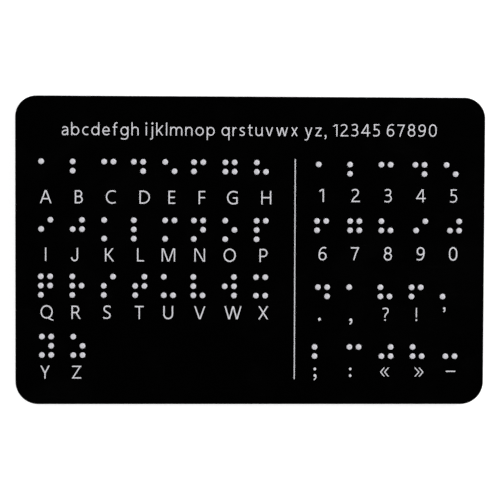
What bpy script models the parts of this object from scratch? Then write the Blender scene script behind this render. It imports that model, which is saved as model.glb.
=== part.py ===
"""A braille alphabet board.

A black face plate carries the letters, digits and punctuation marks of the braille alphabet as raised
dots. The dots of one character stand on a small carrier, which is pushed into a pocket in the back of
the plate so that they come through round holes in its face. An adhesive film holds the carriers in, and
a back panel closes the board.

Lengths are in metres. The board lies face up: X runs along its long side, Y up the page and Z out of
its face, and the origin is the middle of its back.
"""

import math

import bmesh
import bpy
from mathutils import Matrix, Vector

# The board's outline
BOARD_WIDTH = 0.1271
BOARD_HEIGHT = 0.0834
UPPER_CORNER_RADIUS = 0.0057
LOWER_CORNER_RADIUS = 0.0062
EDGE_ROUNDING = 0.00025

# The layers, from the face to the back
WEB_THICKNESS = 0.0012
CARRIER_THICKNESS = 0.0006
FILM_THICKNESS = 0.0002
PANEL_THICKNESS = 0.00085
SEAT_GAP = 0.00005

# The rim round the back panel
RIM_WIDTH = 0.0025
RECESS_CORNER_RADIUS = 0.003
PANEL_CLEARANCE = 0.0002

# A braille cell: two columns of three dots
DOT_PITCH = 0.0025
DOT_DIAMETER = 0.00156
DOT_HEIGHT = 0.0005
DOT_CLEARANCE = 0.00005
CARRIER_MARGIN = 0.00025
CARRIER_CORNER_RADIUS = 0.0004
POCKET_CLEARANCE = 0.00015

# The strip between the letters and the digits
DIVIDER_WIDTH = 0.0003
DIVIDER_SEAT_DEPTH = 0.0006
DIVIDER_HEIGHT = 0.0002
DIVIDER_CLEARANCE = 0.00005
DIVIDER_ROUNDING = 0.00008

# Places on the board, as shares of its width and height from its middle
DIVIDER_PLACE_SHARE = 0.0942
DIVIDER_TOP_SHARE = 0.2980
DIVIDER_BOTTOM_SHARE = -0.4181
LETTER_COLUMN_SHARES = (-0.4450, -0.3783, -0.3117, -0.2488, -0.1822, -0.1212, -0.0544, 0.0124)
THIRD_ROW_COLUMN_SHARES = (-0.4458, -0.3791, -0.3124, -0.2457, -0.1848, -0.1220, -0.0551, 0.0116)
LAST_ROW_COLUMN_SHARES = (-0.4436, -0.3770)
FIRST_DIGIT_COLUMN_SHARES = (0.1445, 0.2113, 0.2783, 0.3509, 0.4178)
SECOND_DIGIT_COLUMN_SHARES = (0.1413, 0.2121, 0.2789, 0.3535, 0.4261)
FIRST_MARK_COLUMN_SHARES = (0.1440, 0.2109, 0.2778, 0.3446, 0.4114)
SECOND_MARK_COLUMN_SHARES = (0.1374, 0.2121, 0.2809, 0.3477, 0.4184)

LETTER_ROW_SHARES = (0.2879, 0.0990, -0.0843, -0.2798)
DIGIT_ROW_SHARES = (0.2813, 0.0977)
MARK_ROW_SHARES = (-0.1176, -0.3127)

# How far a row falls, as a share of the way along it
LETTER_FALL_SHARE = 0.0021
LEVEL_SHARE = 0.0

# Each row: the place of its upper dots, its fall, its columns and its characters
ROWS = (
    (LETTER_ROW_SHARES[0], LETTER_FALL_SHARE, LETTER_COLUMN_SHARES, "A B C D E F G H"),
    (LETTER_ROW_SHARES[1], LETTER_FALL_SHARE, LETTER_COLUMN_SHARES, "I J K L M N O P"),
    (LETTER_ROW_SHARES[2], LETTER_FALL_SHARE, THIRD_ROW_COLUMN_SHARES, "Q R S T U V W X"),
    (LETTER_ROW_SHARES[3], LETTER_FALL_SHARE, LAST_ROW_COLUMN_SHARES, "Y Z"),
    (DIGIT_ROW_SHARES[0], LEVEL_SHARE, FIRST_DIGIT_COLUMN_SHARES, "1 2 3 4 5"),
    (DIGIT_ROW_SHARES[1], LEVEL_SHARE, SECOND_DIGIT_COLUMN_SHARES, "6 7 8 9 0"),
    (
        MARK_ROW_SHARES[0], LEVEL_SHARE, FIRST_MARK_COLUMN_SHARES,
        "period comma question_mark exclamation_mark apostrophe",
    ),
    (
        MARK_ROW_SHARES[1], LEVEL_SHARE, SECOND_MARK_COLUMN_SHARES,
        "semicolon colon opening_quote closing_quote hyphen",
    ),
)

# A picture of each character's cell, row by row: o is a dot, and a full stop is a place with none
CELL_COLUMNS = 2
CELL_ROWS = 3
CELL_PICTURES = {
    "A": "o. .. ..", "B": "o. o. ..", "C": "oo .. ..", "D": "oo .o ..", "E": "o. .o ..",
    "F": "oo o. ..", "G": "oo oo ..", "H": "o. oo ..", "I": ".o o. ..", "J": ".o oo ..",
    "K": "o. .. o.", "L": "o. o. o.", "M": "oo .. o.", "N": "oo .o o.", "O": "o. .o o.",
    "P": "oo o. o.", "Q": "oo oo o.", "R": "o. oo o.", "S": ".o o. o.", "T": ".o oo o.",
    "U": "o. .. oo", "V": "o. o. oo", "W": ".o oo .o", "X": "oo .. oo", "Y": "oo .o oo",
    "Z": "o. .o oo",
    "1": "o. .. ..", "2": "o. o. ..", "3": "oo .. ..", "4": "oo .o ..", "5": "o. .o ..",
    "6": "oo o. ..", "7": "oo oo ..", "8": "o. oo ..", "9": ".o o. ..", "0": ".o oo ..",
    "period": "oo .o ..", "comma": "o. .. ..", "question_mark": "o. oo ..",
    "exclamation_mark": "oo o. ..", "apostrophe": ".. o. ..", "semicolon": "o. o. ..",
    "colon": "oo .. ..", "opening_quote": ".o oo ..", "closing_quote": "o. oo ..",
    "hyphen": ".. oo ..",
}

# How finely round shapes are divided
BOARD_CORNER_STEPS = 10
RECESS_CORNER_STEPS = 5
CARRIER_CORNER_STEPS = 1
EDGE_STEPS = 2
DOT_SIDES = 10
DOME_STEPS = 2
SHARP_ANGLE = math.radians(50)

# Working distances: how far a cutter runs past the face that it cuts, and how near points are joined
CUT_OVERRUN = 0.001
WELD_DISTANCE = 0.000001

# Heights above the back, worked out from the layers
PANEL_TOP = PANEL_THICKNESS
FILM_BOTTOM = PANEL_TOP + SEAT_GAP
FILM_TOP = FILM_BOTTOM + FILM_THICKNESS
RECESS_CEILING = FILM_TOP + SEAT_GAP
CARRIER_TOP = RECESS_CEILING + CARRIER_THICKNESS
POCKET_CEILING = CARRIER_TOP + SEAT_GAP
FACE = POCKET_CEILING + WEB_THICKNESS


def clear_scene():
    for old in list(bpy.data.objects):
        bpy.data.objects.remove(old, do_unlink=True)


def new_collection(name):
    home = bpy.data.collections.new(name)
    bpy.context.scene.collection.children.link(home)
    return home


def plastic(name, color, roughness):
    """A plastic of one colour, given as linear red, green and blue."""
    material = bpy.data.materials.new(name)
    material.use_nodes = True
    surface = material.node_tree.nodes["Principled BSDF"]
    surface.inputs["Base Color"].default_value = (*color, 1.0)
    surface.inputs["Roughness"].default_value = roughness
    surface.inputs["Metallic"].default_value = 0.0
    return material


def face_plastic():
    return plastic("black_face_plastic", (0.003, 0.003, 0.0035), 0.28)


def dot_plastic():
    return plastic("white_dot_plastic", (0.63, 0.62, 0.66), 0.4)


def divider_plastic():
    return plastic("white_divider_plastic", (0.58, 0.58, 0.61), 0.45)


def film_plastic():
    return plastic("milky_adhesive_film", (0.5, 0.49, 0.45), 0.55)


def panel_plastic():
    return plastic("black_panel_plastic", (0.012, 0.012, 0.013), 0.5)


def add_mesh_object(name, mesh, home):
    added = bpy.data.objects.new(name, mesh)
    home.objects.link(added)
    return added


def as_mesh_object(drawn, home):
    """The evaluated shape of a curve or of an object with modifiers, as a closed mesh object in its place."""
    name = drawn.name
    bpy.context.view_layer.update()
    evaluated = drawn.evaluated_get(bpy.context.evaluated_depsgraph_get())
    mesh = bpy.data.meshes.new_from_object(evaluated)
    place = drawn.matrix_world.copy()
    bpy.data.objects.remove(drawn, do_unlink=True)
    shape = bmesh.new()
    shape.from_mesh(mesh)
    bmesh.ops.remove_doubles(shape, verts=shape.verts, dist=WELD_DISTANCE)
    bmesh.ops.recalc_face_normals(shape, faces=shape.faces)
    shape.to_mesh(mesh)
    shape.free()
    mesh.shade_smooth()
    mesh.set_sharp_from_angle(angle=SHARP_ANGLE)
    made = add_mesh_object(name, mesh, home)
    made.matrix_world = place
    return made


def rounded_outline(width, height, upper_radius, lower_radius, steps):
    """Points round a rectangle about the origin, its corners drawn as arcs of so many steps."""
    right, top = width / 2, height / 2
    corners = (
        (right - upper_radius, top - upper_radius, upper_radius, 0),
        (upper_radius - right, top - upper_radius, upper_radius, 90),
        (lower_radius - right, lower_radius - top, lower_radius, 180),
        (right - lower_radius, lower_radius - top, lower_radius, 270),
    )
    points = []
    for x, y, radius, start in corners:
        for step in range(steps + 1):
            turn = math.radians(start + 90 * step / steps)
            points.append((x + radius * math.cos(turn), y + radius * math.sin(turn)))
    return points


def slab(name, outline, bottom, top, home):
    """A flat outline filled and raised from one height to another."""
    curve = bpy.data.curves.new(name, "CURVE")
    curve.dimensions = "2D"
    curve.fill_mode = "BOTH"
    curve.extrude = (top - bottom) / 2
    spline = curve.splines.new("POLY")
    spline.points.add(len(outline) - 1)
    spline.use_cyclic_u = True
    for point, (x, y) in zip(spline.points, outline):
        point.co = (x, y, 0, 1)
    drawn = bpy.data.objects.new(name, curve)
    drawn.location.z = (bottom + top) / 2
    home.objects.link(drawn)
    return as_mesh_object(drawn, home)


def rounded_slab(name, width, height, radius, steps, bottom, top, home):
    outline = rounded_outline(width, height, radius, radius, steps)
    return slab(name, outline, bottom, top, home)


def round_edges(part, width, steps):
    bevel = part.modifiers.new("rounded edges", "BEVEL")
    bevel.width = width
    bevel.segments = steps
    bevel.limit_method = "ANGLE"
    bevel.angle_limit = SHARP_ANGLE


def boolean(part, other, operation):
    modifier = part.modifiers.new(other.name, "BOOLEAN")
    modifier.operation = operation
    modifier.solver = "EXACT"
    modifier.object = other


def as_guide(part):
    """Keeps an object that only shapes others out of the finished board."""
    part.hide_render = True
    part.display_type = "WIRE"
    return part


def copies(name, shape, places, guides):
    """A guide that holds one copy of an object's mesh at each place."""
    gathered = bmesh.new()
    for place in places:
        start = len(gathered.verts)
        gathered.from_mesh(shape.data)
        gathered.verts.ensure_lookup_table()
        move = Matrix.Translation(Vector(place)) @ shape.matrix_world
        bmesh.ops.transform(gathered, matrix=move, verts=gathered.verts[start:])
    mesh = bpy.data.meshes.new(name)
    gathered.to_mesh(mesh)
    gathered.free()
    return as_guide(add_mesh_object(name, mesh, guides))


def dot_offset(column, row):
    """The place of a dot in its cell, from the cell's upper left dot."""
    return Vector((column * DOT_PITCH, -row * DOT_PITCH, 0))


def characters():
    """Each character's name and the place of its cell's upper left dot on the board."""
    for top_share, fall_share, column_shares, names in ROWS:
        for name, column_share in zip(names.split(), column_shares):
            fall = fall_share * (column_share - column_shares[0]) * BOARD_WIDTH
            yield name, Vector((column_share * BOARD_WIDTH, top_share * BOARD_HEIGHT - fall, 0))


def dot_places(name, first_dot):
    places = []
    for row, marks in enumerate(CELL_PICTURES[name].split()):
        for column, mark in enumerate(marks):
            if mark == "o":
                places.append(first_dot + dot_offset(column, row))
    return places


def cell_middle(first_dot):
    return first_dot + dot_offset(CELL_COLUMNS - 1, CELL_ROWS - 1) / 2


def domed_pin(home):
    """A pin turned from its profile: a spherical cap on a straight shank that is rooted in the carrier."""
    radius = DOT_DIAMETER / 2
    half_angle = 2 * math.atan(DOT_HEIGHT / radius)
    dome_radius = radius / math.sin(half_angle)
    dome_middle = FACE + DOT_HEIGHT - dome_radius
    profile = []
    for step in range(DOME_STEPS + 1):
        turn = half_angle * step / DOME_STEPS
        profile.append((dome_radius * math.sin(turn), 0, dome_middle + dome_radius * math.cos(turn)))
    root = CARRIER_TOP - CARRIER_THICKNESS / 2
    profile.append((radius, 0, root))
    profile.append((0, 0, root))
    mesh = bpy.data.meshes.new("domed_pin")
    mesh.from_pydata(profile, [(i, i + 1) for i in range(len(profile) - 1)], [])
    pin = add_mesh_object("domed_pin", mesh, home)
    turned = pin.modifiers.new("turned", "SCREW")
    turned.steps = DOT_SIDES
    turned.render_steps = DOT_SIDES
    turned.use_merge_vertices = True
    turned.merge_threshold = WELD_DISTANCE
    return as_guide(as_mesh_object(pin, home))


def carrier_slab(name, growth, bottom, top, home):
    """The slab under one character's dots, grown by so much on each side."""
    margin = CARRIER_MARGIN + growth
    width = (CELL_COLUMNS - 1) * DOT_PITCH + DOT_DIAMETER + 2 * margin
    height = (CELL_ROWS - 1) * DOT_PITCH + DOT_DIAMETER + 2 * margin
    radius = CARRIER_CORNER_RADIUS + growth
    return rounded_slab(name, width, height, radius, CARRIER_CORNER_STEPS, bottom, top, home)


def character_inserts(board, guides):
    """One insert for each character: its carrier with its domed pins."""
    finish = dot_plastic()
    pin = domed_pin(guides)
    carrier = carrier_slab("carrier", 0, RECESS_CEILING, CARRIER_TOP, guides)
    carrier.data.materials.append(finish)
    for name, first_dot in characters():
        insert = add_mesh_object("braille_" + name, carrier.data, board)
        insert.matrix_world = Matrix.Translation(cell_middle(first_dot)) @ carrier.matrix_world
        pins = copies("pins_" + name, pin, dot_places(name, first_dot), guides)
        boolean(insert, pins, "UNION")
    as_guide(carrier)


def pocket_cutters(guides):
    pocket = carrier_slab("pocket", POCKET_CLEARANCE, RECESS_CEILING - CUT_OVERRUN, POCKET_CEILING, guides)
    as_guide(pocket)
    places = [cell_middle(first_dot) for _, first_dot in characters()]
    return copies("pocket_cutters", pocket, places, guides)


def hole_cutters(guides):
    bottom = POCKET_CEILING - CUT_OVERRUN
    top = FACE + CUT_OVERRUN
    radius = DOT_DIAMETER / 2 + DOT_CLEARANCE
    mesh = bpy.data.meshes.new("dot_hole")
    shape = bmesh.new()
    bmesh.ops.create_cone(
        shape, cap_ends=True, segments=DOT_SIDES, radius1=radius, radius2=radius, depth=top - bottom
    )
    shape.to_mesh(mesh)
    shape.free()
    hole = as_guide(add_mesh_object("dot_hole", mesh, guides))
    hole.matrix_world = Matrix.Translation((0, 0, (bottom + top) / 2))
    places = []
    for name, first_dot in characters():
        places += dot_places(name, first_dot)
    return copies("hole_cutters", hole, places, guides)


def recess_slab(name, shrink, bottom, top, home):
    """A slab that fills the recess in the back, less so much on each side."""
    width = BOARD_WIDTH - 2 * (RIM_WIDTH + shrink)
    height = BOARD_HEIGHT - 2 * (RIM_WIDTH + shrink)
    radius = RECESS_CORNER_RADIUS - shrink
    return rounded_slab(name, width, height, radius, RECESS_CORNER_STEPS, bottom, top, home)


def divider_box(name, growth, bottom, top, home):
    """A box along the divider, grown by so much on each side."""
    high = DIVIDER_TOP_SHARE * BOARD_HEIGHT + growth
    low = DIVIDER_BOTTOM_SHARE * BOARD_HEIGHT - growth
    size = (DIVIDER_WIDTH + 2 * growth, high - low, top - bottom)
    middle = (DIVIDER_PLACE_SHARE * BOARD_WIDTH, (high + low) / 2, (bottom + top) / 2)
    mesh = bpy.data.meshes.new(name)
    shape = bmesh.new()
    bmesh.ops.create_cube(shape, size=1.0, matrix=Matrix.LocRotScale(middle, None, size))
    shape.to_mesh(mesh)
    shape.free()
    return add_mesh_object(name, mesh, home)


def face_plate(board, guides):
    """The black plate: a recess for the panel, a pocket for each carrier, and a hole for each dot."""
    outline = rounded_outline(
        BOARD_WIDTH, BOARD_HEIGHT, UPPER_CORNER_RADIUS, LOWER_CORNER_RADIUS, BOARD_CORNER_STEPS
    )
    plate = slab("face_plate", outline, 0, FACE, board)
    plate.data.materials.append(face_plastic())
    round_edges(plate, EDGE_ROUNDING, EDGE_STEPS)
    recess = recess_slab("recess_cutter", 0, -CUT_OVERRUN, RECESS_CEILING, guides)
    groove = divider_box(
        "groove_cutter", DIVIDER_CLEARANCE, FACE - DIVIDER_SEAT_DEPTH, FACE + CUT_OVERRUN, guides
    )
    for cutter in (as_guide(recess), pocket_cutters(guides), hole_cutters(guides), as_guide(groove)):
        boolean(plate, cutter, "DIFFERENCE")


def divider_strip(board):
    bottom = FACE - DIVIDER_SEAT_DEPTH + SEAT_GAP
    strip = divider_box("divider_strip", 0, bottom, FACE + DIVIDER_HEIGHT, board)
    strip.data.materials.append(divider_plastic())
    round_edges(strip, DIVIDER_ROUNDING, EDGE_STEPS)


def adhesive_film(board):
    film = recess_slab("adhesive_film", PANEL_CLEARANCE, FILM_BOTTOM, FILM_TOP, board)
    film.data.materials.append(film_plastic())


def back_panel(board):
    panel = recess_slab("back_panel", PANEL_CLEARANCE, 0, PANEL_TOP, board)
    panel.data.materials.append(panel_plastic())


def main():
    clear_scene()
    board = new_collection("braille_alphabet_board")
    guides = new_collection("cutters_and_guides")
    face_plate(board, guides)
    character_inserts(board, guides)
    divider_strip(board)
    adhesive_film(board)
    back_panel(board)


main()
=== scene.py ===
# %% [markdown]
# # Braille alphabet board
# The object is a thin black plastic board that teaches the braille alphabet by touch. White domed dots
# stand on it in cells, with a printed character below each cell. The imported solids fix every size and
# place. This lesson dresses them: it rebuilds the face plate and the dots with finer skins, draws the
# characters with strokes of a pen, and gives every surface its finish.

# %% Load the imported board
import math

import bmesh
import bpy
from mathutils import Matrix, Vector, geometry


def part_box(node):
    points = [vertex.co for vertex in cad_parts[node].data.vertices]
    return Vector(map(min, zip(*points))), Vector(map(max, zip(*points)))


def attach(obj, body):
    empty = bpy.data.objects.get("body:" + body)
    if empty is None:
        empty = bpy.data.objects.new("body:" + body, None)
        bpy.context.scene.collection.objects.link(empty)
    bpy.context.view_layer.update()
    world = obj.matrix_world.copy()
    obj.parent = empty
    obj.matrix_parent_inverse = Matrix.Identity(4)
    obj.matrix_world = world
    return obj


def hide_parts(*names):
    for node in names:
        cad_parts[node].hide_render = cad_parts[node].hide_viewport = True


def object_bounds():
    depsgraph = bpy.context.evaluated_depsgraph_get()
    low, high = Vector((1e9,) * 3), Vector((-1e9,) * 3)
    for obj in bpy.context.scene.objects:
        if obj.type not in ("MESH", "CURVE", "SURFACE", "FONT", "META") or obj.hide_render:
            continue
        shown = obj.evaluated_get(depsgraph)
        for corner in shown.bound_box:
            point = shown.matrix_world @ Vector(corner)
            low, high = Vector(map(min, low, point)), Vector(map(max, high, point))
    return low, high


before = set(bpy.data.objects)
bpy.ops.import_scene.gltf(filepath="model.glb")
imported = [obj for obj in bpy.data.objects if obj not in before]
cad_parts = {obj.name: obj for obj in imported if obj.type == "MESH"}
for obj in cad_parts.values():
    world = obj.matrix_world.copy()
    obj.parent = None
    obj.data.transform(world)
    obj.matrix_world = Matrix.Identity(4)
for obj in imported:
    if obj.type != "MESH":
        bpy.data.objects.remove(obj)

packed_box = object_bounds()
MM = 0.001
print("board in mm", [round(v / MM, 2) for v in packed_box[1] - packed_box[0]])

# %% [markdown]
# ## The camera
# The picture was taken almost straight above the board with a long lens, tilted by about two degrees, so
# the board's outline is not quite a rectangle. Rotation angles would hide that, so the camera is turned
# by two arrows: the way it looks, and the way that is up in the picture.

# %% Place the camera
LENS = 120
SENSOR_WIDTH = 36
NEAREST_SEEN = 0.01
FARTHEST_SEEN = 20
CAMERA_PLACE = Vector((-0.014072, 0.016265, 0.453992))
CAMERA_FORWARD = Vector((0.03076918, -0.03552179, -0.99889512))
CAMERA_UP = Vector((-0.00267226, 0.99936181, -0.0356207))

right = CAMERA_FORWARD.cross(CAMERA_UP).normalized()
up = right.cross(CAMERA_FORWARD).normalized()
turn = Matrix((right, up, -CAMERA_FORWARD.normalized())).transposed()
camera_data = bpy.data.cameras.new("board_camera")
camera_data.lens = LENS
camera_data.sensor_width = SENSOR_WIDTH
camera_data.clip_start = NEAREST_SEEN
camera_data.clip_end = FARTHEST_SEEN
camera = bpy.data.objects.new("board_camera", camera_data)
camera.matrix_world = Matrix.Translation(CAMERA_PLACE) @ turn.to_4x4()
bpy.context.collection.objects.link(camera)
bpy.context.scene.camera = camera
bpy.context.scene.view_settings.view_transform = "Standard"
print("camera height in mm", round(CAMERA_PLACE.z / MM, 1))

# %% [markdown]
# ## Helpers for nodes
# Every finish below is a tree of nodes. One short function adds a node, sets its options, and fills its
# inputs with plain values or with the outputs of other nodes. Four more wrap the nodes used most.


# %% Define the node helpers
def add_node(tree, kind, inputs=None, **options):
    """A new node. inputs maps a socket's name or number to its value, or to the output that feeds it."""
    made = tree.nodes.new(kind)
    for option, value in options.items():
        setattr(made, option, value)
    for name, value in (inputs or {}).items():
        if isinstance(value, bpy.types.NodeSocket):
            tree.links.new(value, made.inputs[name])
        else:
            made.inputs[name].default_value = value
    return made


def add_sum(tree, operation, first, second=0.0):
    """The output of a Math node."""
    return add_node(tree, "ShaderNodeMath", {0: first, 1: second}, operation=operation).outputs[0]


MIX_FACTOR, MIX_FIRST, MIX_SECOND, MIX_RESULT = 0, 6, 7, 2


def mix_colours(tree, factor, first, second):
    """The first colour where factor is 0, and the second where it is 1."""
    inputs = {MIX_FACTOR: factor, MIX_FIRST: first, MIX_SECOND: second}
    return add_node(tree, "ShaderNodeMix", inputs, data_type="RGBA").outputs[MIX_RESULT]


def to_range(tree, value, low, high, new_low, new_high):
    """A value moved from one range to another, with soft ends."""
    inputs = {"Value": value, "From Min": low, "From Max": high, "To Min": new_low, "To Max": new_high}
    return add_node(tree, "ShaderNodeMapRange", inputs, interpolation_type="SMOOTHSTEP").outputs["Result"]


def add_noise(tree, place, scale, detail=2.0, **settings):
    """The output of a noise over places. settings names its other inputs."""
    inputs = {"Vector": place, "Scale": scale, "Detail": detail, **settings}
    return add_node(tree, "ShaderNodeTexNoise", inputs).outputs["Fac"]


print("a colour mix reads the sockets", MIX_FACTOR, MIX_FIRST, MIX_SECOND)

# %% [markdown]
# ## The room
# A glossy black plate looks black only when nothing bright stands where it mirrors the camera. The room
# is therefore dark overhead and bright round the horizon: from above the plate stays black, and from
# the side it picks up a sheen. What the camera sees directly, or through glass, is plain white.

# %% Light the room
WHITE = (1, 1, 1, 1)
HORIZON_LIGHT = 1.00
HORIZON_ENDS = 0.45
OVERHEAD_STARTS = 0.85

world = bpy.data.worlds.new("studio_room")
world.use_nodes = True
bpy.context.scene.world = world
room = world.node_tree
room.nodes.clear()
direction = add_node(room, "ShaderNodeTexCoord").outputs["Generated"]
height = add_node(room, "ShaderNodeSeparateXYZ", {"Vector": direction}).outputs["Z"]
glow = to_range(room, height, HORIZON_ENDS, OVERHEAD_STARTS, HORIZON_LIGHT, 0.0)
around = add_node(room, "ShaderNodeBackground", {"Color": WHITE, "Strength": glow})
seen = add_node(room, "ShaderNodeBackground", {"Color": WHITE, "Strength": 1.0})
path = add_node(room, "ShaderNodeLightPath").outputs
straight = add_sum(room, "MAXIMUM", path["Is Camera Ray"], path["Is Transmission Ray"])
mixed = add_node(room, "ShaderNodeMixShader", {0: straight, 1: around.outputs[0], 2: seen.outputs[0]})
add_node(room, "ShaderNodeOutputWorld", {"Surface": mixed.outputs[0]})
print("the room's glow fades out between heights", HORIZON_ENDS, "and", OVERHEAD_STARTS)

# %% [markdown]
# ## The lamps
# The dots are a little brighter on their upper right sides, so the key lamp stands there. A weaker lamp
# fills in from the other side. Both are area lamps, for soft shadows, and both stand low enough that the
# plate does not mirror them into the camera.

# %% Set up the softboxes
SOFTBOXES = {
    "key": ((0.70, 0.40, 0.55), 0.50, 5.8),
    "fill": ((-0.70, -0.20, 0.55), 0.60, 2.8),
}

for name, (place, size, power) in SOFTBOXES.items():
    lamp_data = bpy.data.lights.new(name + "_softbox", "AREA")
    lamp_data.shape = "SQUARE"
    lamp_data.size = size
    lamp_data.energy = power
    lamp = bpy.data.objects.new(name + "_softbox", lamp_data)
    lamp.location = place
    lamp.rotation_euler = (-Vector(place)).to_track_quat("-Z", "Y").to_euler()
    bpy.context.collection.objects.link(lamp)
    print(name, "softbox", size, "m wide,", power, "W")

# %% [markdown]
# ## The table
# The board lies on a plain pale table. Its paint takes a soft shadow, and a glow that only the camera
# and mirror-like rays see lifts it to white, so that no extra light falls on the board. It lies a hair
# below the board, because two surfaces in one plane show each other's specks, and it is clear from
# below, so that the board's back can be seen.

# %% Lay the table
TABLE_HALF_WIDTH = 3.0
TABLE_DEPTH = 0.05 * MM
TABLE_LIFT = 0.60
TABLE_GRAIN_SCALE = 900.0
TABLE_PAINTS = ((0.80, 0.80, 0.80, 1), (0.85, 0.85, 0.85, 1))
TABLE_ROUGHNESS = 0.9

table_paint = bpy.data.materials.new("table_paint")
table_paint.use_nodes = True
tree = table_paint.node_tree
tree.nodes.clear()
place = add_node(tree, "ShaderNodeTexCoord").outputs["Object"]
colour = mix_colours(tree, add_noise(tree, place, TABLE_GRAIN_SCALE), *TABLE_PAINTS)
paint = add_node(tree, "ShaderNodeBsdfPrincipled", {"Base Color": colour, "Roughness": TABLE_ROUGHNESS})
path = add_node(tree, "ShaderNodeLightPath").outputs
watched = add_sum(tree, "MAXIMUM", path["Is Camera Ray"], path["Is Glossy Ray"])
watched = add_sum(tree, "MAXIMUM", watched, path["Is Transmission Ray"])
lift = add_sum(tree, "MULTIPLY", watched, TABLE_LIFT)
shine = add_node(tree, "ShaderNodeEmission", {"Color": WHITE, "Strength": lift})
both = add_node(tree, "ShaderNodeAddShader", {0: paint.outputs[0], 1: shine.outputs[0]})
clear = add_node(tree, "ShaderNodeBsdfTransparent")
under = add_node(tree, "ShaderNodeNewGeometry").outputs["Backfacing"]
sides = add_node(tree, "ShaderNodeMixShader", {0: under, 1: both.outputs[0], 2: clear.outputs[0]})
add_node(tree, "ShaderNodeOutputMaterial", {"Surface": sides.outputs[0]})

SQUARE = ((-1, -1), (1, -1), (1, 1), (-1, 1))
corners = [(x * TABLE_HALF_WIDTH, y * TABLE_HALF_WIDTH, -TABLE_DEPTH) for x, y in SQUARE]
table_mesh = bpy.data.meshes.new("table")
table_mesh.from_pydata(corners, [], [(0, 1, 2, 3)])
table_mesh.materials.append(table_paint)
table = bpy.data.objects.new("table", table_mesh)
bpy.context.collection.objects.link(table)
print("table half width in m", TABLE_HALF_WIDTH)

# %% [markdown]
# ## Shared effects
# Moulded plastic is never quite flat or clean. Every finish shows the same three effects, so each is a
# node group that is built once. The first is the mould's grain: a fine noise over a broader one.


# %% Build the mould grain group
def new_group(name, inputs, outputs):
    """A node group. inputs maps each socket's name to its default value, and outputs lists names."""
    group = bpy.data.node_groups.new(name, "ShaderNodeTree")
    for label, value in inputs.items():
        socket = group.interface.new_socket(label, in_out="INPUT", socket_type="NodeSocketFloat")
        socket.default_value = value
    for label in outputs:
        group.interface.new_socket(label, in_out="OUTPUT", socket_type="NodeSocketFloat")
    return group, add_node(group, "NodeGroupInput").outputs, add_node(group, "NodeGroupOutput").inputs


GRAIN_SCALE = 2600.0
WAVE_SHARE = 0.16
GRAIN_WEIGHT = 0.7
GRAIN_DETAIL = 3.0
WAVE_DETAIL = 1.0

tree, given, put_out = new_group("mould_grain", {"Scale": GRAIN_SCALE}, ("Height", "Tone"))
place = add_node(tree, "ShaderNodeTexCoord").outputs["Object"]
fine = add_noise(tree, place, given["Scale"], GRAIN_DETAIL)
coarse_scale = add_sum(tree, "MULTIPLY", given["Scale"], WAVE_SHARE)
waves = add_noise(tree, place, coarse_scale, WAVE_DETAIL)
weighted = add_sum(tree, "MULTIPLY", fine, GRAIN_WEIGHT)
tree.links.new(add_sum(tree, "ADD", weighted, waves), put_out["Height"])
tree.links.new(fine, put_out["Tone"])
mould_grain = tree
print("grain size in mm", round(1 / GRAIN_SCALE / MM, 2))

# %% [markdown]
# The second effect is what hands leave: smudges, and hairline scratches in two directions. Lines would
# have to be drawn one by one, so a scratch is a noise stretched along one direction, of which only the
# thin ridge round one of its levels is kept.

# %% Build the handling marks group
SMUDGE_SCALE = 55.0
SMUDGE_RANGE = (0.38, 0.72)
SMUDGE_NOISE = {"Detail": 4.0, "Roughness": 0.6, "Distortion": 0.6}
SCRATCH_LENGTH_SCALE = 22.0
SCRATCH_WIDTH_SCALE = 900.0
SCRATCH_STRETCH = (SCRATCH_LENGTH_SCALE, SCRATCH_WIDTH_SCALE, SCRATCH_LENGTH_SCALE)
SCRATCH_TURNS = (0.45, -1.0)
RIDGE_LEVEL = 0.64
RIDGE_WIDTH = 0.012

tree, given, put_out = new_group("handling_marks", {"Scale": 1.0}, ("Smudges", "Scratches"))
place = add_node(tree, "ShaderNodeTexCoord").outputs["Object"]
place = add_node(tree, "ShaderNodeVectorMath", {0: place, "Scale": given["Scale"]}, operation="SCALE")
place = place.outputs["Vector"]
smudges = add_noise(tree, place, SMUDGE_SCALE, **SMUDGE_NOISE)
tree.links.new(to_range(tree, smudges, *SMUDGE_RANGE, 0.0, 1.0), put_out["Smudges"])
scratches = 0.0
for turn in SCRATCH_TURNS:
    turning = {"Vector": place, "Rotation": (0, 0, turn), "Scale": SCRATCH_STRETCH}
    turned = add_node(tree, "ShaderNodeMapping", turning).outputs["Vector"]
    offset = add_sum(tree, "SUBTRACT", add_noise(tree, turned, 1.0, 1.0), RIDGE_LEVEL)
    ridge = to_range(tree, add_sum(tree, "ABSOLUTE", offset), 0.0, RIDGE_WIDTH, 1.0, 0.0)
    scratches = add_sum(tree, "MAXIMUM", ridge, scratches)
tree.links.new(scratches, put_out["Scratches"])
handling_marks = tree
print("scratch directions", len(SCRATCH_TURNS))

# %% [markdown]
# The third effect is wear on edges and dust. An edge is where the surface's direction, evened out over a
# small radius, differs from its true one. Dust lies in specks, thicker in some places than in others.

# %% Build the edge wear and dust group
EDGE_RADIUS = 0.10 * MM
EDGE_SAMPLES = 4
EDGE_RANGE = (0.75, 0.98)
SPECK_SCALE = 1500.0
SPECK_RANGE = (0.10, 0.22)
PATCH_SCALE = 160.0
PATCH_DETAIL = 3.0
PATCH_RANGE = (0.52, 0.74)

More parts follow.
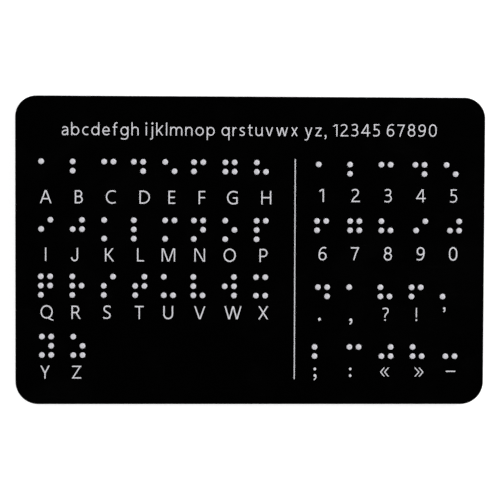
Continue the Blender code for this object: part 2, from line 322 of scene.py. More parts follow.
tree, given, put_out = new_group("wear_and_dust", {"Dust": 0.5}, ("Edge", "Dust"))
evened = add_node(tree, "ShaderNodeBevel", {"Radius": EDGE_RADIUS}, samples=EDGE_SAMPLES).outputs[0]
true = add_node(tree, "ShaderNodeNewGeometry").outputs["Normal"]
agreement = add_node(tree, "ShaderNodeVectorMath", {0: evened, 1: true}, operation="DOT_PRODUCT")
edge = to_range(tree, agreement.outputs["Value"], *EDGE_RANGE, 1.0, 0.0)
tree.links.new(edge, put_out["Edge"])
place = add_node(tree, "ShaderNodeTexCoord").outputs["Object"]
specks = add_node(tree, "ShaderNodeTexVoronoi", {"Vector": place, "Scale": SPECK_SCALE})
specks = to_range(tree, specks.outputs["Distance"], *SPECK_RANGE, 1.0, 0.0)
patches = add_noise(tree, place, PATCH_SCALE, PATCH_DETAIL)
patches = to_range(tree, patches, *PATCH_RANGE, 0.0, 1.0)
dust = add_sum(tree, "MULTIPLY", specks, patches)
tree.links.new(add_sum(tree, "MULTIPLY", dust, given["Dust"]), put_out["Dust"])
wear_and_dust = tree
print("dust speck spacing in mm", round(1 / SPECK_SCALE / MM, 2))

# %% [markdown]
# ## Finishes
# One function lays out what the finishes share: a colour that varies with the grain and is paler on worn
# edges and under dust, a roughness that smudges and scratches change, and a bump from both.


# %% Define the moulded finish
SCRATCH_ROUGHNESS = 0.04
SCRATCH_DEPTH = -0.6


def moulded(name, colours, *, worn, dusty, roughness, relief, grain_scale, edge=0.4, dust=0.3):
    """A plastic's finish. colours, worn and dusty are colours, roughness is (clean, smudged), and
    relief is the depth of the grain in metres. edge and dust say how strong these two are."""
    finish = bpy.data.materials.new(name)
    finish.use_nodes = True
    tree = finish.node_tree
    tree.nodes.clear()
    grain = add_node(tree, "ShaderNodeGroup", node_tree=mould_grain)
    grain.inputs["Scale"].default_value = grain_scale
    marks = add_node(tree, "ShaderNodeGroup", node_tree=handling_marks)
    ageing = add_node(tree, "ShaderNodeGroup", node_tree=wear_and_dust)
    ageing.inputs["Dust"].default_value = dust
    colour = mix_colours(tree, grain.outputs["Tone"], *colours)
    rubbed = add_sum(tree, "MULTIPLY", ageing.outputs["Edge"], edge)
    colour = mix_colours(tree, rubbed, colour, worn)
    colour = mix_colours(tree, ageing.outputs["Dust"], colour, dusty)
    rough = to_range(tree, marks.outputs["Smudges"], 0.0, 1.0, *roughness)
    roughened = add_sum(tree, "MULTIPLY", marks.outputs["Scratches"], SCRATCH_ROUGHNESS)
    rough = add_sum(tree, "ADD", rough, roughened)
    scored = add_sum(tree, "MULTIPLY", marks.outputs["Scratches"], SCRATCH_DEPTH)
    height = add_sum(tree, "ADD", grain.outputs["Height"], scored)
    bump = add_node(tree, "ShaderNodeBump", {"Height": height, "Distance": relief, "Strength": 1.0})
    surface = {"Base Color": colour, "Roughness": rough, "Normal": bump.outputs[0]}
    shader = add_node(tree, "ShaderNodeBsdfPrincipled", surface)
    add_node(tree, "ShaderNodeOutputMaterial", {"Surface": shader.outputs[0]})
    return finish


# %% [markdown]
# The face is a deep black, glossy plastic. The back panel is the same plastic from a rougher mould. The
# film between them is a milky tape, and it never shows once the board is closed.

# %% Mix the dark finishes
black_gloss = moulded(
    "black_gloss_plastic", ((0.0003, 0.0003, 0.0003, 1), (0.0005, 0.0005, 0.0005, 1)),
    worn=(0.006, 0.006, 0.006, 1), dusty=(0.01, 0.01, 0.01, 1), roughness=(0.12, 0.18),
    relief=0.0008 * MM, grain_scale=GRAIN_SCALE, dust=0.1,
)
black_matte = moulded(
    "black_matte_plastic", ((0.0035, 0.0035, 0.0038, 1), (0.0075, 0.0075, 0.0080, 1)),
    worn=(0.03, 0.03, 0.032, 1), dusty=(0.12, 0.12, 0.11, 1), roughness=(0.48, 0.62),
    relief=0.016 * MM, grain_scale=1500.0,
)
film_tape = moulded(
    "film_tape", ((0.48, 0.47, 0.43, 1), (0.53, 0.52, 0.48, 1)),
    worn=(0.60, 0.59, 0.55, 1), dusty=(0.55, 0.54, 0.50, 1), roughness=(0.25, 0.40),
    relief=0.004 * MM, grain_scale=1200.0,
)

# %% [markdown]
# The dots are a satin white plastic with a cool cast. The printed white is a flat screen ink, rougher
# and a touch paler. The dividing strip is moulded like the dots.

# %% Mix the white finishes
PALE_DUST = (0.42, 0.41, 0.40, 1)
WHITE_WORN = (0.76, 0.76, 0.79, 1)
STRIP_WORN = (0.72, 0.72, 0.75, 1)
WHITE_GRAIN_SCALE = 3200.0
INK_GRAIN_SCALE = 5200.0

dot_white = moulded(
    "satin_white_plastic", ((0.622, 0.614, 0.655, 1), (0.678, 0.670, 0.712, 1)),
    worn=WHITE_WORN, dusty=PALE_DUST, roughness=(0.34, 0.44),
    relief=0.003 * MM, grain_scale=WHITE_GRAIN_SCALE, edge=0.2, dust=0.15,
)
ink_white = moulded(
    "white_screen_ink", ((0.650, 0.645, 0.680, 1), (0.720, 0.715, 0.750, 1)),
    worn=WHITE_WORN, dusty=PALE_DUST, roughness=(0.50, 0.60),
    relief=0.004 * MM, grain_scale=INK_GRAIN_SCALE, edge=0.1, dust=0.1,
)
strip_white = moulded(
    "divider_white_plastic", ((0.60, 0.60, 0.63, 1), (0.66, 0.66, 0.69, 1)),
    worn=STRIP_WORN, dusty=PALE_DUST, roughness=(0.36, 0.46),
    relief=0.003 * MM, grain_scale=WHITE_GRAIN_SCALE, edge=0.2, dust=0.15,
)
print("finishes", len(bpy.data.materials))

# %% [markdown]
# ## Meshes from loops
# The plate and the inserts are flat levels joined by straight walls. A loop is a closed row of points at
# one height, a wall joins two loops of the same length, and a cap fills a loop and leaves the loops
# inside it open. Boolean cuts could make the same holes, but leave long thin faces that shade badly.


# %% Define loops, walls and caps
CAP_TOLERANCE = 1e-7


def add_loop(shape, points, z):
    """A closed row of corners at one height."""
    return [shape.verts.new((x, y, z)) for x, y in points]


def add_wall(shape, lower, upper):
    """Faces between two loops that run the same way round. Anticlockwise ones are seen from outside."""
    for i in range(len(lower)):
        j = (i + 1) % len(lower)
        shape.faces.new((lower[i], lower[j], upper[j], upper[i]))


def add_cap(shape, outer, holes=(), up=True):
    """Fills a loop with triangles. A triangle that also lies inside one of the holes is left out."""
    corners = []
    loops = []
    for loop in (outer, *holes):
        loops.append(list(range(len(corners), len(corners) + len(loop))))
        corners.extend(loop)
    made = geometry.delaunay_2d_cdt([v.co.xy for v in corners], [], loops, 1, CAP_TOLERANCE)
    sources = [corners[origins[0]] for origins in made[3]]
    for triangle, owners in zip(made[2], made[5]):
        if owners == [0]:
            face = [sources[i] for i in triangle]
            shape.faces.new(face if up else face[::-1])


def circle(x, y, radius, sides):
    """A circle's points, anticlockwise."""
    turns = [2 * math.pi * i / sides for i in range(sides)]
    return [(x + radius * math.cos(t), y + radius * math.sin(t)) for t in turns]


def rounded_box(low, high, radii, steps, inset=0.0):
    """A rounded rectangle's points, anticlockwise. radii go from the lower left corner round, and
    steps is the number of faces in each corner."""
    corners = ((low[0], low[1]), (high[0], low[1]), (high[0], high[1]), (low[0], high[1]))
    inward = ((1, 1), (-1, 1), (-1, -1), (1, -1))
    points = []
    for k, (corner, side, radius) in enumerate(zip(corners, inward, radii)):
        middle = [corner[n] + side[n] * radius for n in (0, 1)]
        reach = radius - inset
        for step in range(steps + 1):
            turn = math.pi * (1 + k / 2) + math.pi / 2 * step / steps
            points.append((middle[0] + reach * math.cos(turn), middle[1] + reach * math.sin(turn)))
    return points


# %% [markdown]
# A built shape becomes an object in the same way each time: it is shaded smooth except where faces meet
# at a wide angle, gets its finish, and is tied to the board's one body.


# %% Define how a shape becomes a piece
SMOOTH_ANGLE = 0.6


def as_piece(shape, name, finish):
    """Turns a built shape into an object with its finish, smooth except over sharp edges."""
    mesh = bpy.data.meshes.new(name)
    shape.normal_update()
    for edge in shape.edges:
        edge.smooth = len(edge.link_faces) == 2 and edge.calc_face_angle(0.0) < SMOOTH_ANGLE
    for face in shape.faces:
        face.smooth = True
    shape.to_mesh(mesh)
    shape.free()
    mesh.materials.append(finish)
    piece = bpy.data.objects.new(name, mesh)
    bpy.context.collection.objects.link(piece)
    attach(piece, "root")
    return piece


print("smooth below an angle of", round(math.degrees(SMOOTH_ANGLE)), "degrees")

# %% [markdown]
# ## Where everything is
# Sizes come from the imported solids: the plate's box gives the board's outline and the height of its
# face, and the highest points of an insert are the summits of its dots.

# %% Read the places of the dots
plate_low, plate_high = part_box("face_plate")
FACE = plate_high.z
DOT_TOP = packed_box[1].z
SUMMIT_DEPTH = 0.01 * MM
SAME_PLACE_DIGITS = 7
INSERTS = [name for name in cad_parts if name.startswith("braille_")]


def summits(node):
    """The highest points of an insert, one for each of its dots."""
    places = {}
    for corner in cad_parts[node].data.vertices:
        if corner.co.z > DOT_TOP - SUMMIT_DEPTH:
            place = (round(corner.co.x, SAME_PLACE_DIGITS), round(corner.co.y, SAME_PLACE_DIGITS))
            places[place] = corner.co.xy
    return list(places.values())


DOTS = {node: summits(node) for node in INSERTS}
print("inserts", len(DOTS), "dots", sum(map(len, DOTS.values())))

# %% [markdown]
# ## The face plate
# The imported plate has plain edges. This finer one has the same outline and openings, and replaces it:
# its edges are softly rounded, and every hole has a tiny chamfer, where light catches.

# %% Set the plate's sizes
EDGE_ROUNDING = 0.12 * MM
EDGE_STEPS = 5
FLAT_BORDER = 0.10 * MM
LOWER_RADIUS = 6.2 * MM
UPPER_RADIUS = 5.7 * MM
CORNER_RADII = (LOWER_RADIUS, LOWER_RADIUS, UPPER_RADIUS, UPPER_RADIUS)
CORNER_STEPS = 28
RIM_WIDTH = 2.5 * MM
RECESS_RADIUS = 3.0 * MM
RECESS_STEPS = 12
RECESS_CEILING = 1.2 * MM
POCKET_CEILING = 1.85 * MM
POCKET_GAP = 0.15 * MM
POCKET_RADIUS = 0.55 * MM
POCKET_STEPS = 4
HOLE_RADIUS = 0.83 * MM
HOLE_CHAMFER = 0.03 * MM
HOLE_SIDES = 32
GROOVE_GAP = 0.05 * MM
GROOVE_RADIUS = 0.05 * MM
GROOVE_STEPS = 2
GROOVE_FLOOR = FACE - 0.6 * MM


def plate_loop(inset):
    """The plate's outline, moved inwards by the inset."""
    return rounded_box(plate_low.xy, plate_high.xy, CORNER_RADII, CORNER_STEPS, inset)


print("points round the plate", len(plate_loop(0)), "height of its face in mm", round(FACE / MM, 2))

# %% [markdown]
# The outside is one row of loops that follows the rounded edges up the side, and the recess in the back
# goes up from the rim. A narrow flat border runs inside the face's rounded edge, and later round every
# opening, which keeps the shading of the large face flat.


# %% Build the plate's outside and its recess
def edge_profile(radius, steps, bottom, top):
    """Pairs of inset and height that follow a rounded lower edge and a rounded upper edge."""
    turns = [math.pi / 2 * step / steps for step in range(steps + 1)]
    lower = [(radius * (1 - math.sin(t)), bottom + radius * (1 - math.cos(t))) for t in turns]
    upper = [(inset, top - (height - bottom)) for inset, height in reversed(lower)]
    return lower + upper


shape = bmesh.new()
profile = edge_profile(EDGE_ROUNDING, EDGE_STEPS, 0, FACE)
rings = [add_loop(shape, plate_loop(inset), z) for inset, z in profile]
rings.append(add_loop(shape, plate_loop(EDGE_ROUNDING + FLAT_BORDER), FACE))
for lower, upper in zip(rings, rings[1:]):
    add_wall(shape, lower, upper)

recess_low = plate_low.xy + Vector((RIM_WIDTH, RIM_WIDTH))
recess_high = plate_high.xy - Vector((RIM_WIDTH, RIM_WIDTH))
recess_points = rounded_box(recess_low, recess_high, (RECESS_RADIUS,) * 4, RECESS_STEPS)
mouth = add_loop(shape, recess_points, 0)
ceiling = add_loop(shape, recess_points, RECESS_CEILING)
add_cap(shape, rings[0], [mouth], up=False)
add_wall(shape, ceiling, mouth)
print("plate faces so far", len(shape.faces))

# %% [markdown]
# From the recess a pocket for each insert goes on up, which holds its carrier, and from each pocket a
# hole for each dot. The hole's wall ends in the chamfer and the flat border.

# %% Open the pockets and the holes
pockets = []
face_holes = []
for node, dots in DOTS.items():
    low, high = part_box(node)
    gap = Vector((POCKET_GAP, POCKET_GAP))
    points = rounded_box(low.xy - gap, high.xy + gap, (POCKET_RADIUS,) * 4, POCKET_STEPS)
    pocket_mouth = add_loop(shape, points, RECESS_CEILING)
    pocket_top = add_loop(shape, points, POCKET_CEILING)
    add_wall(shape, pocket_top, pocket_mouth)
    inner_holes = []
    for x, y in dots:
        bottom = add_loop(shape, circle(x, y, HOLE_RADIUS, HOLE_SIDES), POCKET_CEILING)
        neck = add_loop(shape, circle(x, y, HOLE_RADIUS, HOLE_SIDES), FACE - HOLE_CHAMFER)
        add_wall(shape, neck, bottom)
        for border in (0, FLAT_BORDER):
            lip = add_loop(shape, circle(x, y, HOLE_RADIUS + HOLE_CHAMFER + border, HOLE_SIDES), FACE)
            add_wall(shape, lip, neck)
            neck = lip
        inner_holes.append(bottom)
        face_holes.append(lip)
    add_cap(shape, pocket_top, inner_holes, up=False)
    pockets.append(pocket_mouth)
add_cap(shape, ceiling, pockets, up=False)
print("pockets", len(pockets), "holes", len(face_holes))

# %% [markdown]
# The dividing strip lies in a groove. Once the groove is in, one large cap fills the face up to the
# rounded edge and leaves the groove and every hole open.

# %% Open the groove and close the face
strip_low, strip_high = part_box("divider_strip")


def groove_loop(growth, z):
    """A loop round the strip, grown by so much on each side."""
    grown = Vector((growth, growth))
    radii = (GROOVE_RADIUS + growth - GROOVE_GAP,) * 4
    points = rounded_box(strip_low.xy - grown, strip_high.xy + grown, radii, GROOVE_STEPS)
    return add_loop(shape, points, z)


groove_floor = groove_loop(GROOVE_GAP, GROOVE_FLOOR)
add_cap(shape, groove_floor)
lower = groove_floor
for border in (0, FLAT_BORDER):
    upper = groove_loop(GROOVE_GAP + border, FACE)
    add_wall(shape, upper, lower)
    lower = upper
add_cap(shape, rings[-1], [*face_holes, lower])
print("plate faces", len(shape.faces))

plate = as_piece(shape, "moulded_face_plate", black_gloss)
weighted = plate.modifiers.new("even_shading", "WEIGHTED_NORMAL")
weighted.keep_sharp = True
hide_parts("face_plate")

# %% [markdown]
# ## The dots
# Each character is one white moulding: a thin carrier with pins that come through the plate and end in
# domes. The carrier keeps the dots in line and stops them from being pushed out. A dome is as high as
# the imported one, but a little fuller than a ball, which makes it broad enough to be felt.

# %% Build the inserts
DOT_RADIUS = 0.757 * MM
DOT_SIDES = 32
DOME_STEPS = 8
CARRIER_TOP = 1.8 * MM
CARRIER_RADIUS = 0.4 * MM
CARRIER_STEPS = 4
DOME_HEIGHT = DOT_TOP - FACE
DOME_FULLNESS = 2.8


def add_dome(shape, x, y, lower):
    """Rings that narrow from a pin's top loop to the summit."""
    for step in range(1, DOME_STEPS):
        turn = math.pi / 2 * step / DOME_STEPS
        reach = DOT_RADIUS * math.cos(turn) ** (2 / DOME_FULLNESS)
        rise = DOME_HEIGHT * math.sin(turn) ** (2 / DOME_FULLNESS)
        upper = add_loop(shape, circle(x, y, reach, DOT_SIDES), FACE + rise)
        add_wall(shape, lower, upper)
        lower = upper
    summit = shape.verts.new((x, y, DOT_TOP))
    for i in range(DOT_SIDES):
        shape.faces.new((lower[i], lower[(i + 1) % DOT_SIDES], summit))


for node, dots in DOTS.items():
    shape = bmesh.new()
    low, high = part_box(node)
    points = rounded_box(low.xy, high.xy, (CARRIER_RADIUS,) * 4, CARRIER_STEPS)
    bottom = add_loop(shape, points, low.z)
    top = add_loop(shape, points, CARRIER_TOP)
    add_cap(shape, bottom, up=False)
    add_wall(shape, bottom, top)
    feet = [add_loop(shape, circle(x, y, DOT_RADIUS, DOT_SIDES), CARRIER_TOP) for x, y in dots]
    add_cap(shape, top, feet)
    for (x, y), foot in zip(dots, feet):
        shoulder = add_loop(shape, circle(x, y, DOT_RADIUS, DOT_SIDES), FACE)
        add_wall(shape, foot, shoulder)
        add_dome(shape, x, y, shoulder)
    piece = as_piece(shape, node.replace("braille", "dots"), dot_white)
    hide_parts(node)
print("dome in mm", round(DOME_HEIGHT / MM, 2), "high", round(2 * DOT_RADIUS / MM, 2), "wide")

# %% [markdown]
# ## Strokes of a pen
# The printed characters are plain letters of one even stroke. A text object would bring a font's shapes
# along, so each is drawn here as a pen would draw it. A stroke is a row of points in millimetres:
# straight lines, arcs of an ellipse, and curves with two handles. A slant is a line that runs past both
# ends, for strokes that are cut level. A blot is filled.


# %% Define the pen strokes
SLANT_OVERRUN = 0.4
ARC_STEP = 9
CURVE_POINTS = 10
SAME_POINT = 0.01


def line(*numbers):
    """A straight stroke through points, given as x, y, x, y and so on."""
    return [Vector(numbers[i:i + 2]) for i in range(0, len(numbers), 2)]


def stem(x, start, end):
    """A straight stroke up or down."""
    return line(x, start, x, end)


def bar(y, start, end):
    """A straight stroke across."""
    return line(start, y, end, y)


def slant(*numbers):
    """A straight stroke that runs on past both of its ends."""
    first, last = line(*numbers)
    along = (last - first).normalized() * SLANT_OVERRUN
    return [first - along, last + along]


def arc(x, y, across, up, start, end):
    """Part of an ellipse round x, y, from one angle to another in degrees."""
    steps = max(2, round(abs(end - start) / ARC_STEP))
    turns = [math.radians(start + (end - start) * i / steps) for i in range(steps + 1)]
    return [Vector((x + across * math.cos(t), y + up * math.sin(t))) for t in turns]


def joined(*parts):
    """One stroke of several parts, without the points that repeat where they meet."""
    points = []
    for point in (p.to_2d() if len(p) > 2 else p for part in parts for p in part):
        if not points or (point - points[-1]).length > SAME_POINT:
            points.append(point)
    return points


def curve(*numbers):
    """Curves that run on from each other: a start, and then two handles and an end for each."""
    marks = [point.to_3d() for point in line(*numbers)]
    starts = range(0, len(marks) - 1, 3)
    return joined(*(geometry.interpolate_bezier(*marks[i:i + 4], CURVE_POINTS) for i in starts))


def blot(x, y, across, up):
    """A filled ellipse."""
    return ("blot", arc(x, y, across, up, 0, 360 - ARC_STEP))


print("points in a full circle", len(blot(0, 0, 1, 1)[1]))

# %% [markdown]
# Each character has its width and height in millimetres, and its strokes from its lower left corner.
# The middle of an outer stem stands inside the edge by STEM. Wherever a pen is finer than that, the box
# that the strokes are cut to is drawn in to match.

# %% Draw the capitals
STEM = 0.26


def belly(top, bottom, x, across):
    """From a stem along the top to x, round to the right, and back along the bottom."""
    half = (top - bottom) / 2
    return joined(bar(top, STEM, x), arc(x, bottom + half, across, half, 90, -90), bar(bottom, x, STEM))


CAPITALS = {
    "A": (3.33, 3.68, slant(.265, 0, 1.62, 3.68), slant(3.055, 0, 1.68, 3.68), bar(1.29, .8, 2.5)),
    "B": (2.30, 3.70, stem(STEM, 0, 3.70), belly(3.44, 1.93, 1.14, .75), belly(1.93, .26, 1.2, .84)),
    "C": (
        2.80, 3.80,
        joined(arc(1.78, 1.9, 1.95, 1.64, 33, 90), arc(1.78, 1.9, 1.52, 1.64, 90, 270),
               arc(1.78, 1.9, 1.95, 1.64, 270, 325)),
    ),
    "D": (2.98, 3.72, stem(STEM, 0, 3.72), belly(3.46, .26, 1.1, 1.62)),
    "E": (1.98, 3.70, stem(STEM, 0, 3.70), bar(3.44, 0, 1.87), bar(1.84, 0, 1.79), bar(STEM, 0, 1.98)),
    "F": (1.95, 3.75, stem(STEM, 0, 3.75), bar(3.49, 0, 1.95), bar(1.84, 0, 1.83)),
    "G": (
        3.03, 3.82,
        joined(arc(1.78, 1.91, 2.0, 1.65, 52, 90), arc(1.78, 1.91, 1.52, 1.65, 90, 270),
               curve(1.78, .26, 2.15, .26, 2.5, .33, 2.77, .48)),
        stem(2.77, .30, 2.10), bar(1.84, 1.68, 3.03),
    ),
    "H": (2.85, 3.79, stem(STEM, 0, 3.79), stem(2.59, 0, 3.79), bar(1.90, STEM, 2.59)),
    "I": (0.50, 3.74, stem(.25, 0, 3.74)),
    "J": (
        2.02, 3.78,
        joined(stem(1.76, 3.78, 1.01), arc(1.01, 1.01, .75, .75, 0, -180), line(.26, 1.01, .24, 1.18)),
    ),
    "K": (
        2.66, 3.72, stem(STEM, 0, 3.72), bar(1.93, STEM, .9), line(.82, 1.86, 2.45, 4.05),
        line(.78, 2.02, 2.57, -.33),
    ),
    "L": (2.02, 3.73, stem(STEM, 0, 3.73), bar(STEM, 0, 2.02)),
    "M": (
        3.80, 3.75, stem(STEM, 0, 3.75), stem(3.54, 0, 3.75), slant(.48, 3.75, 1.87, 0),
        slant(3.32, 3.75, 1.93, 0),
    ),
    "N": (3.03, 3.75, stem(STEM, 0, 3.75), stem(2.77, 0, 3.75), slant(.42, 3.75, 2.61, 0)),
    "O": (3.45, 3.80, arc(1.725, 1.9, 1.465, 1.64, 0, 360)),
    "P": (2.35, 3.74, stem(STEM, 0, 3.74), belly(3.48, 1.60, 1.15, .93)),
    "Q": (
        3.61, 4.33, arc(1.705, 2.43, 1.465, 1.64, 0, 360),
        curve(2.05, .92, 2.40, .64, 2.80, .36, 3.75, .02),
    ),
    "R": (2.71, 3.75, stem(STEM, 0, 3.75), belly(3.49, 1.79, 1.15, .84), line(1.30, 1.82, 2.62, -.35)),
    "S": (
        2.20, 3.80,
        curve(2.2, 3.22, 1.9, 3.45, 1.5, 3.54, 1.25, 3.54, .75, 3.54, .36, 3.3, .36, 2.82,
              .36, 2.3, .75, 2.1, 1.1, 1.9, 1.5, 1.7, 1.94, 1.5, 1.94, 1.0, 1.94, .5, 1.5, .26, .98, .26,
              .65, .26, .3, .33, -.1, .60),
    ),
    "T": (2.59, 3.79, bar(3.49, 0, 2.59), stem(1.30, 0, 3.5)),
    "U": (
        2.80, 3.73,
        joined(stem(STEM, 3.73, 1.41), arc(1.4, 1.41, 1.14, 1.15, 180, 360), stem(2.54, 1.41, 3.73)),
    ),
    "V": (3.24, 3.68, slant(.27, 3.68, 1.59, 0), slant(2.96, 3.68, 1.65, 0)),
    "W": (
        4.84, 3.70, slant(.27, 3.70, 1.37, 0), slant(2.42, 3.70, 1.41, 0), slant(2.46, 3.70, 3.45, 0),
        slant(4.57, 3.70, 3.49, 0),
    ),
    "X": (3.03, 3.73, slant(.31, 3.73, 2.71, 0), slant(2.71, 3.73, .31, 0)),
    "Y": (2.83, 3.72, line(.11, 4.05, 1.37, 1.66), line(2.72, 4.05, 1.44, 1.66), stem(1.405, 0, 1.75)),
    "Z": (2.70, 3.65, bar(3.39, .10, 2.60), slant(2.32, 3.39, .34, .26), bar(STEM, 0, 2.62)),
}
print("capitals", len(CAPITALS))

# %% [markdown]
# The digits and the punctuation marks follow. A comma's shape serves three marks: its head is a blot,
# and its tail a short curve that hangs from the head's right side.


# %% Draw the digits and marks
def comma(x, y, size):
    """The head and tail of a comma whose lower left corner is at x, y."""
    tail = [Vector((x, y)) + point * size for point in curve(.58, 1.50, .86, 1.30, .86, .60, .14, .20)]
    return blot(x + .46 * size, y + 1.42 * size, .39 * size, .39 * size), tail


DIGITS = {
    "1": (1.38, 3.67, stem(1.12, 0, 3.67), line(1.25, 3.75, .08, 2.95)),
    "2": (
        2.46, 3.75, bar(STEM, .06, 2.46),
        curve(.20, 3.12, .55, 3.42, .85, 3.49, 1.10, 3.49, 1.58, 3.49, 1.90, 3.2, 1.90, 2.72,
              1.90, 2.15, 1.5, 1.85, 1.1, 1.5, .7, 1.15, .35, .85, .35, .10),
    ),
    "3": (
        2.17, 3.83, bar(2.01, .45, 1.0),
        curve(.22, 3.28, .5, 3.5, .8, 3.57, 1.05, 3.57, 1.5, 3.57, 1.78, 3.3, 1.78, 2.87,
              1.78, 2.4, 1.4, 2.01, .95, 2.01),
        curve(.95, 2.01, 1.5, 2.01, 1.93, 1.7, 1.93, 1.17, 1.93, .6, 1.5, .26, .95, .26,
              .6, .26, .3, .33, -.1, .56),
    ),
    "4": (2.80, 3.72, stem(1.97, 0, 3.72), bar(1.12, .02, 2.80), line(.24, 1.10, 2.04, 4.0)),
    "5": (
        2.08, 3.80, bar(3.54, .20, 1.92), stem(.46, 3.6, 1.92),
        curve(.24, 2.0, .5, 2.13, .7, 2.17, .92, 2.17, 1.45, 2.17, 1.82, 1.8, 1.82, 1.24,
              1.82, .62, 1.4, .26, .85, .26, .5, .26, .25, .32, -.1, .50),
    ),
    "6": (
        2.39, 3.82, arc(1.21, 1.21, .91, .95, 0, 360),
        curve(2.18, 3.42, 1.93, 3.54, 1.73, 3.56, 1.58, 3.56, .75, 3.56, .27, 2.7, .29, 1.25),
    ),
    "7": (2.35, 3.70, bar(3.44, 0, 2.30), curve(2.10, 3.44, 1.72, 2.60, 1.12, 1.55, .78, -.30)),
    "8": (2.38, 3.86, arc(1.19, 2.82, .78, .78, 0, 360), arc(1.19, 1.155, .93, .895, 0, 360)),
    "9": (
        2.38, 3.80, arc(1.16, 2.59, .90, .95, 0, 360),
        curve(2.09, 2.55, 2.11, 1.1, 1.6, .26, .85, .26, .6, .26, .4, .3, .1, .42),
    ),
    "0": (
        2.43, 3.83,
        joined(arc(1.215, 2.30, .955, 1.27, 0, 180), arc(1.215, 1.53, .955, 1.27, 180, 360),
               stem(2.17, 1.53, 2.30)),
    ),
}
MARKS = {
    "period": (0.85, 0.95, blot(.425, .465, .37, .43)),
    "comma": (1.00, 1.85, *comma(0, 0, 1)),
    "question_mark": (
        1.85, 3.78, blot(.79, .33, .245, .235),
        joined(curve(-.08, 3.20, .3, 3.45, .55, 3.52, .85, 3.52, 1.35, 3.52, 1.59, 3.25, 1.59, 2.85,
                     1.59, 2.15, .74, 2.0, .74, 1.25), stem(.74, 1.25, 1.02)),
    ),
    "exclamation_mark": (0.60, 3.74, blot(.30, .31, .25, .27), stem(.30, 1.05, 3.74)),
    "apostrophe": (0.81, 1.50, *comma(0, 0, .81)),
    "semicolon": (1.02, 3.66, blot(.44, 3.17, .37, .40), *comma(.02, 0, .99)),
    "colon": (0.88, 2.72, blot(.44, .45, .36, .37), blot(.44, 2.26, .35, .37)),
    "opening_quote": (
        2.87, 2.68, line(1.70, 2.98, .34, 1.34, 1.70, -.3), line(2.85, 2.98, 1.44, 1.34, 2.85, -.3),
    ),
    "closing_quote": (
        2.88, 2.68, line(1.11, 2.98, 2.50, 1.34, 1.11, -.3), line(-.05, 2.98, 1.39, 1.34, -.05, -.3),
    ),
    "hyphen": (2.81, 0.52, bar(.26, 0, 2.81)),
}
CHARACTERS = {**CAPITALS, **DIGITS, **MARKS}
print("characters", len(CHARACTERS))

# %% [markdown]
# Print looks even only if its strokes are not all the same: a round letter needs slightly broader ones,
# and a small mark, or a letter whose strokes crowd together, slightly finer ones.

# %% Choose the pens
PEN = 0.354
BROAD_PEN = 0.370
FINE_PEN = 0.329
THIN_PEN = 0.300
QUOTE_PEN = 0.28

PENS = dict.fromkeys("JOU", BROAD_PEN)
PENS.update(dict.fromkeys((*"MNZ345", *MARKS), FINE_PEN))
PENS.update(exclamation_mark=THIN_PEN, opening_quote=QUOTE_PEN, closing_quote=QUOTE_PEN)
print("characters with a pen of their own", len(PENS))

# %% [markdown]
# ## From strokes to ink
# A stroke's points become a band of quadrilaterals, half a pen's width to each side, and each is cut to
# the character's box, which gives slanted strokes level ends. Bands that cross would flicker, so a
# triangulation merges all parts of a character into one flat shape.


# %% Turn strokes into a flat shape
MERGE_DISTANCE = 1e-3


def band(points, pen):
    """Quadrilaterals along a stroke, with mitred joints."""
    closed = (points[0] - points[-1]).length < SAME_POINT
    last = len(points) - 1
    sides = []
    for i, point in enumerate(points):
        before = points[i - 1] if i else points[last - 1] if closed else None
        after = points[i + 1] if i < last else points[1] if closed else None
        ways = [(b - a).normalized() for a, b in ((before, point), (point, after)) if a and b]
        along = sum(ways, Vector((0, 0))).normalized()
        across = Vector((-along.y, along.x)) * pen / 2 / along.dot(ways[0])
        sides.append((point - across, point + across))
    return [(a, c, d, b) for (a, b), (c, d) in zip(sides, sides[1:])]


def cut(polygon, axis, limit, keep_below):
    """The part of a polygon on one side of a line along an axis."""
    def inside(point):
        return (point[axis] <= limit) == keep_below

    kept = []
    for first, second in zip(polygon, polygon[1:] + polygon[:1]):
        if inside(first):
            kept.append(first)
        if inside(first) != inside(second):
            crossing = first.lerp(second, (limit - first[axis]) / (second[axis] - first[axis]))
            crossing[axis] = limit
            kept.append(crossing)
    return kept


def merged(strokes, pen, trim, width, bottom, top):
    """One flat shape of all strokes: its points and its triangles."""
    sides = ((0, trim, False), (0, width - trim, True), (1, bottom + trim, False), (1, top - trim, True))
    points = []
    faces = []
    for stroke in strokes:
        blotted = stroke[0] == "blot"
        for polygon in [stroke[1]] if blotted else band(stroke, pen):
            for side in () if blotted else sides:
                polygon = cut(polygon, *side)
            if len(polygon) > 2:
                faces.append(list(range(len(points), len(points) + len(polygon))))
                points.extend(polygon)
    made = geometry.delaunay_2d_cdt(points, [], faces, 1, MERGE_DISTANCE)
    return made[0], [face for face, owners in zip(made[2], made[5]) if owners]


print("parts nearer than", MERGE_DISTANCE, "mm are merged")

# %% [markdown]
# Real screen ink is a film with a thickness, and its edges slope down to the plastic, which a bump could
# only pretend from straight above. The flat shape is freed of the seams inside it. A turned-over copy
# becomes the underside, a little below the face so that no gap can show. The rest is inset by the width
# of the shoulders and raised, and the two are welded along their rim.


# %% Define how ink is laid
INK_HEIGHT = 0.030
INK_SINK = 0.010
INK_SHOULDER = 0.012
SEAM_ANGLE = 0.02
WELD_DISTANCE = 5e-5


def each_once(parts):
    """A list of the parts without repeats. It keeps their order, which a set would not."""
    return list(dict.fromkeys(parts))


